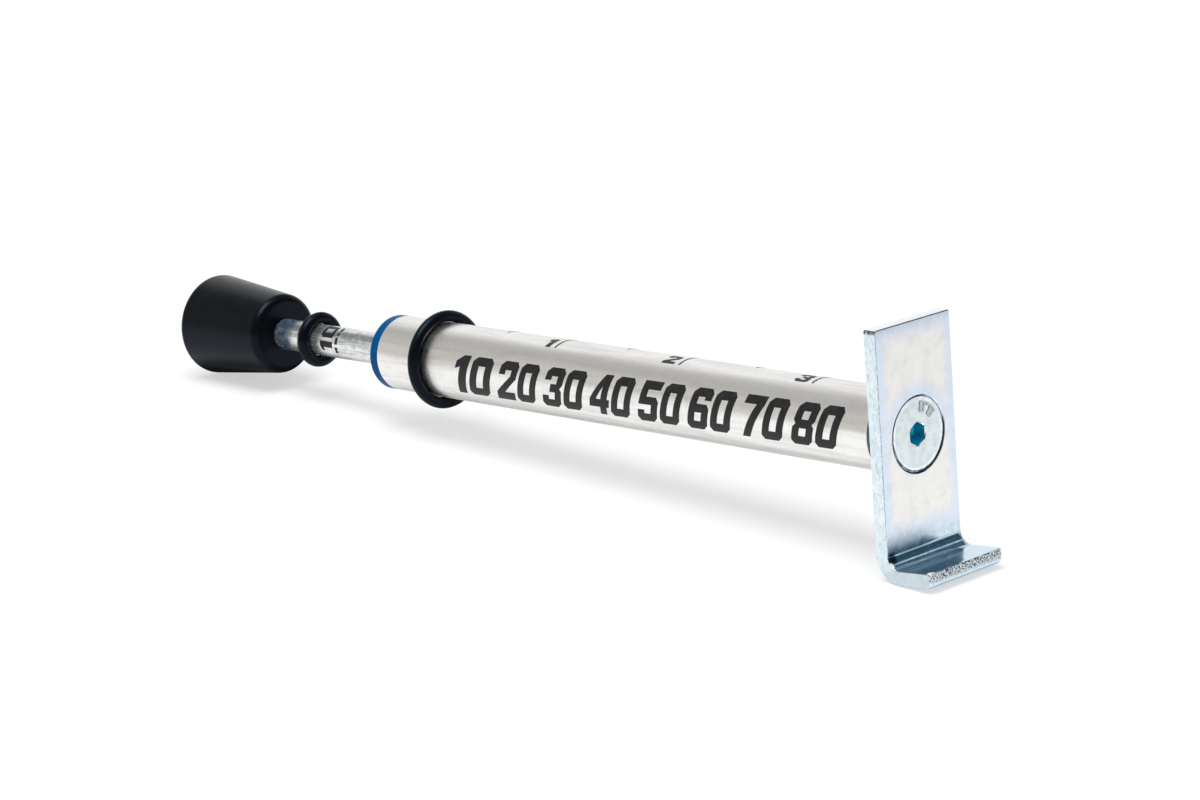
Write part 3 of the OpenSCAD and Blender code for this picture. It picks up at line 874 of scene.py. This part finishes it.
# The print on the tube: the scale's zero along the axis, and a slight twist, in degrees per mm, about the
# print's middle.
inch_zero = -93.43
print_mid = -49.3
print_twist = -0.132
on_tube = on_round(tube_r, print_twist, print_mid)
tube_step = 0.3
rod_step = 0.15


def block_numerals(top, foot):
    """Heavy leaning numerals along the camera's side of the tube: millimetres from the scale's zero."""
    wide = 8.3
    lean = 0.30
    tall = foot - top
    outlines = []
    for n in range(1, 9):
        glyphs, width = string(str(n * 10))
        x = inch_zero + n * 10 - wide / 2 - lean * tall / 2
        outlines += laid(glyphs, x, foot, wide / width, -tall / GRID_TALL, lean * tall / GRID_TALL)
    return outlines


numerals_top, numerals_foot = arc(146.0), arc(207.8)
bm = flat_mesh(block_numerals(numerals_top, numerals_foot))
cut(bm, numerals_top, numerals_foot, tube_step)
film(bm, "mm_numerals", on_tube, black, "barrel")

# Inch scale on the upper side: a line at each inch, a short one at each half, and the numbers 1 to 3.
half_line = 0.15
line_top, line_foot, short_foot = arc(62), arc(112.8), arc(87)
digit_wide, digit_tall = 0.4, 0.28
beside = 1.1
scale = []
for n in (1, 2, 3):
    x = inch_zero + n * INCH
    scale.append([boxed(x - half_line, line_top, x + half_line, line_foot)])
    half = x - INCH / 2
    scale.append([boxed(half - half_line, line_top, half + half_line, short_foot)])
    glyphs, width = string(str(n))
    scale += laid(glyphs, x - beside - width * digit_wide, line_foot, digit_wide, -digit_tall)
bm = flat_mesh(scale)
cut(bm, arc(60), arc(116), tube_step)
film(bm, "inch_scale", on_tube, black, "barrel")

# Force scale on the rod: a ten that reads round the rod, with a broken line beside it.
ten_x = -120.1
ten_tall = 3.0
ten_top, ten_foot = arc(92, rod_r), arc(203, rod_r)
beside_from, beside_to = -119.5, -118.9
glyphs, width = string("10", 1.2)
k = (ten_foot - ten_top) / width
marks = []
for glyph in glyphs:
    turned = [[(ten_x - py * ten_tall / GRID_TALL, ten_foot - px * k) for px, py in loop] for loop in glyph]
    marks.append(turned)
for low, high in ((96, 118), (126, 138), (146, 172), (182, 206)):
    marks.append([boxed(beside_from, arc(low, rod_r), beside_to, arc(high, rod_r))])
bm = flat_mesh(marks)
cut(bm, arc(90, rod_r), arc(220, rod_r), rod_step)
film(bm, "force_scale", on_round(rod_r), black, "plunger", 0.012)

# A plain strength number stands raised on the screw's head, with its feet towards the rim.
number_turn = math.radians(58)
number_r, foot_r = 3.7, 4.55
step_wide, step_tall = 0.19, 0.17
glyphs, width = string("8.8", 1.0)
bm = flat_mesh(glyphs)


def on_head(x, y, lift):
    """place() for the number on the screw's head."""
    turn = number_turn + (x - width / 2) * step_wide / number_r
    r = foot_r - y * step_tall
    return to_row(head_x + lift, r * math.cos(turn), r * math.sin(turn))


# The digits' sides are a darker copy of their tops: painted shade.
number_side_shade = worn_slate("number_side_shade", colour(84, 98, 106), colour(120, 136, 144))
number_top = worn_slate("number_top", colour(160, 174, 181), colour(196, 207, 212))
number = film(bm, "head_number", on_head, number_side_shade, "barrel", 0.07)
number.data.materials.append(number_top)
for f in number.data.polygons:
    f.material_index = 1 if abs(f.normal.dot(axis)) > 0.8 else 0


# Camera and studio
def camera():
    """The photograph's camera, placed in the tool's own axes."""
    az, el, roll = math.radians(46.832), math.radians(13.2), math.radians(-4.405)
    where = to_row(297.63, -337.16, 113.09)
    ahead = Vector((-math.sin(az) * math.cos(el), math.cos(az) * math.cos(el), -math.sin(el)))
    level = Vector((math.cos(az), math.sin(az), 0))
    over = level.cross(ahead)
    right = level * math.cos(roll) + over * math.sin(roll)
    up = over * math.cos(roll) - level * math.sin(roll)
    data = bpy.data.cameras.new("camera")
    data.sensor_fit = "HORIZONTAL"
    data.sensor_width = 36
    data.lens = 103.21
    data.clip_start = 0.01
    eye = bpy.data.objects.new("camera", data)
    tool = Matrix((axis, side, rise)).transposed()
    turn = (tool @ Matrix((right, up, -ahead)).transposed()).to_4x4()
    eye.matrix_world = Matrix.Translation(where) @ turn
    bpy.context.scene.collection.objects.link(eye)
    bpy.context.scene.camera = eye


def key_lamp():
    """A square soft box nearly overhead, a little towards the camera."""
    where = Vector((0.05, -0.22, 0.88))
    wide = 0.55
    data = bpy.data.lights.new("key", "AREA")
    data.shape = "RECTANGLE"
    data.size = wide
    data.size_y = wide
    data.energy = 7.1
    made = bpy.data.objects.new("key", data)
    made.location = where
    made.rotation_euler = (-where).to_track_quat("-Z", "Y").to_euler()
    bpy.context.scene.collection.objects.link(made)


WHITE = (1.0, 1.0, 1.0)


def room():
    """The world: plain light, white for the camera, and a room for what mirrors it."""
    world = bpy.data.worlds.new("studio")
    bpy.context.scene.world = world
    world.use_nodes = True
    g = Graph(tree=world.node_tree)
    out = g.node("ShaderNodeOutputWorld")
    x, y, z = g.node("ShaderNodeSeparateXYZ", g.node("ShaderNodeTexCoord").outputs["Generated"]).outputs
    # What polished metal sees round it: a pale room at the front left and a dark one ahead, a dimmer
    # ceiling, a white sweep behind with a dark flag above it, and a dark wall at the right.
    flat = g.math("SQRT", g.plus(g.times(x, x), g.times(y, y)))
    seen = g.mix(g.band(g.math("DIVIDE", x, flat), -0.60, -0.46), (0.67, 0.65, 0.61), (0.16, 0.16, 0.165))
    seen = g.mix(g.band(z, 0.40, 0.62), seen, (0.40, 0.40, 0.40))
    seen = g.mix(g.band(y, 0.0, 0.36), seen, WHITE)
    wall = g.times(g.band(x, 0.28, 0.35), g.band(z, 0.0, 0.05))
    wall = g.times(wall, g.band(z, 0.70, 0.90, 1.0, 0.0))
    seen = g.mix(wall, seen, (0.050, 0.112, 0.155))
    flag = g.times(g.band(x, -0.50, -0.38), g.band(x, 0.22, 0.16))
    flag = g.times(flag, g.times(g.band(y, 0.25, 0.40), g.band(z, 0.45, 0.55)))
    seen = g.mix(flag, seen, (0.085, 0.145, 0.190))
    seen = g.mix(g.band(z, -0.02, 0.0, 1.0, 0.0), seen, WHITE)
    path = g.node("ShaderNodeLightPath").outputs
    seen = g.mix(path["Is Camera Ray"], seen, WHITE)
    looks = g.math("MAXIMUM", path["Is Camera Ray"], path["Is Glossy Ray"])
    light = g.node("ShaderNodeBackground", (*WHITE, 1), 0.5)
    sight = g.node("ShaderNodeBackground", seen, 1.0)
    either = g.node("ShaderNodeMixShader", looks, light.outputs[0], sight.outputs[0])
    g.tree.links.new(either.outputs[0], out.inputs["Surface"])


def ground():
    """The floor: it takes a soft shadow under the tool and is white further out."""
    half = 2.5
    low = -0.00002
    corners = [(-half, -half, low), (half, -half, low), (half, half, low), (-half, half, low)]
    mesh = bpy.data.meshes.new("floor")
    mesh.from_pydata(corners, [], [(0, 1, 2, 3)])
    floor = bpy.data.objects.new("floor", mesh)
    bpy.context.scene.collection.objects.link(floor)
    g = Graph("pale_floor")
    g.tree.nodes.remove(g.bsdf)
    here = g.node("ShaderNodeTexCoord").outputs["Object"]
    path = g.node("ShaderNodeLightPath").outputs
    matt = g.node("ShaderNodeBsdfDiffuse", (0.9, 0.9, 0.9, 1))
    glow = g.node("ShaderNodeEmission", (*WHITE, 1), 1.02)
    away = g.node("ShaderNodeVectorMath", here, operation="LENGTH")
    looked = g.plus(path["Is Camera Ray"], g.times(path["Is Glossy Ray"], 0.4))
    white = g.times(looked, g.band(away.outputs["Value"], 0.10, 0.24, 0.55, 1.0))
    either = g.node("ShaderNodeMixShader", white, matt.outputs[0], glow.outputs[0])
    # A painted shadow on the floor, seen only by glossy rays, keeps the knob's reflection of the floor under
    # it dark.
    under = to_row((knob_low.x + knob_high.x) / 2 - 4, 4, 0)
    apart = g.node("ShaderNodeVectorMath", here, (under.x, under.y, low), operation="SUBTRACT")
    apart = g.node("ShaderNodeVectorMath", apart.outputs[0], (0.55, 1.0, 1.0), operation="MULTIPLY")
    apart = g.node("ShaderNodeVectorMath", apart.outputs[0], operation="LENGTH")
    near = g.times(path["Is Glossy Ray"], g.band(apart.outputs["Value"], 0.0135, 0.0085))
    shadow = g.node("ShaderNodeEmission", (*WHITE, 1), 0.12)
    either = g.node("ShaderNodeMixShader", near, either.outputs[0], shadow.outputs[0])
    g.tree.links.new(either.outputs[0], g.out.inputs["Surface"])
    mesh.materials.append(g.material)


bpy.context.scene.view_settings.view_transform = "Standard"
camera()
room()
ground()
key_lamp()
